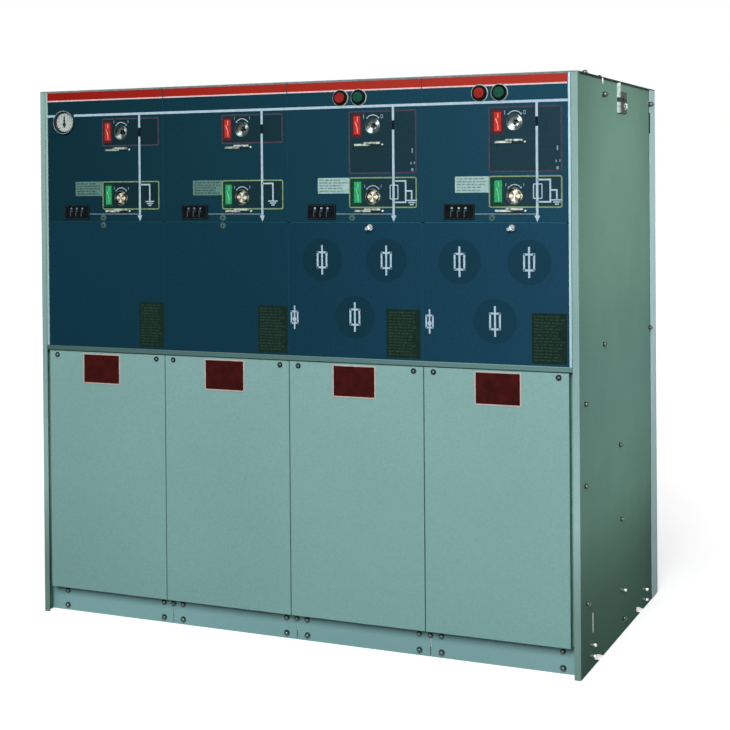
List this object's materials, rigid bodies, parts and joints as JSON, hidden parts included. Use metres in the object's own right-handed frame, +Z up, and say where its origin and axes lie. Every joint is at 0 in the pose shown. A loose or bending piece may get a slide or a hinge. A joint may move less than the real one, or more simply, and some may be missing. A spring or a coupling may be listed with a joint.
{
  "type": "ring main unit",
  "caption": "Floor-standing medium-voltage ring main unit: a steel cabinet with blue operating panels, switch shafts, push buttons, a pressure gauge and screwed cable covers.",
  "frame": {"origin": "on the floor, in the middle of the unit's footprint", "axes": "+X to the viewer's right along the front, +Y from the front to the back, +Z up"},
  "size_m": [1.374, 0.778, 1.28],
  "materials": {
    "cover_paint": "semi-gloss powder coat, grey green",
    "end_panel_paint": "semi-gloss powder coat, grey green",
    "panel_blue": "semi-matte dark blue film",
    "bright_rail": "satin anodised",
    "bright_metal": "bright plated",
    "shaft_steel": "turned steel",
    "zinc_plate": "zinc plated",
    "zinc_sheet": "galvanised sheet",
    "tank_steel": "plain stainless sheet",
    "black_plastic": "matte moulded",
    "button_red": "glossy moulded",
    "button_green": "glossy moulded",
    "clear_window": "clear"
  },
  "bodies": {
    "housing": {"end_panel_left": "end_panel_paint", "end_panel_right": "end_panel_paint", "front_base_rails": "cover_paint", "rear_base_rail": "cover_paint", "floor_plate": "zinc_sheet", "partitions": "zinc_sheet", "gas_tank": "tank_steel", "rear_cover": "cover_paint", "top_cover": "cover_paint", "front_rail": "bright_rail", "edge_trims": "bright_rail", "gauge_case": "bright_metal", "gauge_window": "clear_window", "lifting_lugs": "zinc_plate", "lock_bars": "bright_metal", "button_collars": "black_plastic", "operating_panel_1": "panel_blue", "lower_cover_1": "panel_blue", "cable_cover_1": "cover_paint", "voltage_indicator_1": "black_plastic", "operating_panel_2": "panel_blue", "lower_cover_2": "panel_blue", "cable_cover_2": "cover_paint", "voltage_indicator_2": "black_plastic", "operating_panel_3": "panel_blue", "fuse_cover_3": "panel_blue", "cable_cover_3": "cover_paint", "voltage_indicator_3": "black_plastic", "operating_panel_4": "panel_blue", "fuse_cover_4": "panel_blue", "cable_cover_4": "cover_paint", "voltage_indicator_4": "black_plastic"},
    "line_shaft_1": {"line_shaft_1": "shaft_steel"},
    "earth_shaft_1": {"earth_shaft_1": "shaft_steel"},
    "line_shaft_2": {"line_shaft_2": "shaft_steel"},
    "earth_shaft_2": {"earth_shaft_2": "shaft_steel"},
    "line_shaft_3": {"line_shaft_3": "shaft_steel"},
    "earth_shaft_3": {"earth_shaft_3": "shaft_steel"},
    "open_button_3": {"open_button_3": "button_red"},
    "close_button_3": {"close_button_3": "button_green"},
    "cover_latch_3": {"cover_latch_3": "bright_metal"},
    "line_shaft_4": {"line_shaft_4": "shaft_steel"},
    "earth_shaft_4": {"earth_shaft_4": "shaft_steel"},
    "open_button_4": {"open_button_4": "button_red"},
    "close_button_4": {"close_button_4": "button_green"},
    "cover_latch_4": {"cover_latch_4": "bright_metal"}
  },
  "joints": [
    {"name": "line_shaft_1_turn", "type": "hinge", "parent": "housing", "child": "line_shaft_1", "pos_m": [-0.44, -0.3765, 1.175], "axis": [0, 1, 0], "range_deg": [0, 90]},
    {"name": "earth_shaft_1_turn", "type": "hinge", "parent": "housing", "child": "earth_shaft_1", "pos_m": [-0.441, -0.3765, 1.018], "axis": [0, 1, 0], "range_deg": [0, 90]},
    {"name": "line_shaft_2_turn", "type": "hinge", "parent": "housing", "child": "line_shaft_2", "pos_m": [-0.115, -0.3765, 1.175], "axis": [0, 1, 0], "range_deg": [0, 90]},
    {"name": "earth_shaft_2_turn", "type": "hinge", "parent": "housing", "child": "earth_shaft_2", "pos_m": [-0.116, -0.3765, 1.018], "axis": [0, 1, 0], "range_deg": [0, 90]},
    {"name": "line_shaft_3_turn", "type": "hinge", "parent": "housing", "child": "line_shaft_3", "pos_m": [0.21, -0.3765, 1.175], "axis": [0, 1, 0], "range_deg": [0, 90]},
    {"name": "earth_shaft_3_turn", "type": "hinge", "parent": "housing", "child": "earth_shaft_3", "pos_m": [0.209, -0.3765, 1.018], "axis": [0, 1, 0], "range_deg": [0, 90]},
    {"name": "open_button_3_press", "type": "slide", "parent": "housing", "child": "open_button_3", "axis": [0, 1, 0], "range_m": [0, 0.004], "stiffness_N_per_m": 400, "springref_m": -0.003},
    {"name": "close_button_3_press", "type": "slide", "parent": "housing", "child": "close_button_3", "axis": [0, 1, 0], "range_m": [0, 0.004], "stiffness_N_per_m": 400, "springref_m": -0.003},
    {"name": "cover_latch_3_turn", "type": "hinge", "parent": "housing", "child": "cover_latch_3", "pos_m": [0.2035, -0.389, 0.95], "axis": [0, 1, 0], "range_deg": [0, 90]},
    {"name": "line_shaft_4_turn", "type": "hinge", "parent": "housing", "child": "line_shaft_4", "pos_m": [0.535, -0.3765, 1.175], "axis": [0, 1, 0], "range_deg": [0, 90]},
    {"name": "earth_shaft_4_turn", "type": "hinge", "parent": "housing", "child": "earth_shaft_4", "pos_m": [0.534, -0.3765, 1.018], "axis": [0, 1, 0], "range_deg": [0, 90]},
    {"name": "open_button_4_press", "type": "slide", "parent": "housing", "child": "open_button_4", "axis": [0, 1, 0], "range_m": [0, 0.004], "stiffness_N_per_m": 400, "springref_m": -0.003},
    {"name": "close_button_4_press", "type": "slide", "parent": "housing", "child": "close_button_4", "axis": [0, 1, 0], "range_m": [0, 0.004], "stiffness_N_per_m": 400, "springref_m": -0.003},
    {"name": "cover_latch_4_turn", "type": "hinge", "parent": "housing", "child": "cover_latch_4", "pos_m": [0.5285, -0.389, 0.95], "axis": [0, 1, 0], "range_deg": [0, 90]}
  ]
}
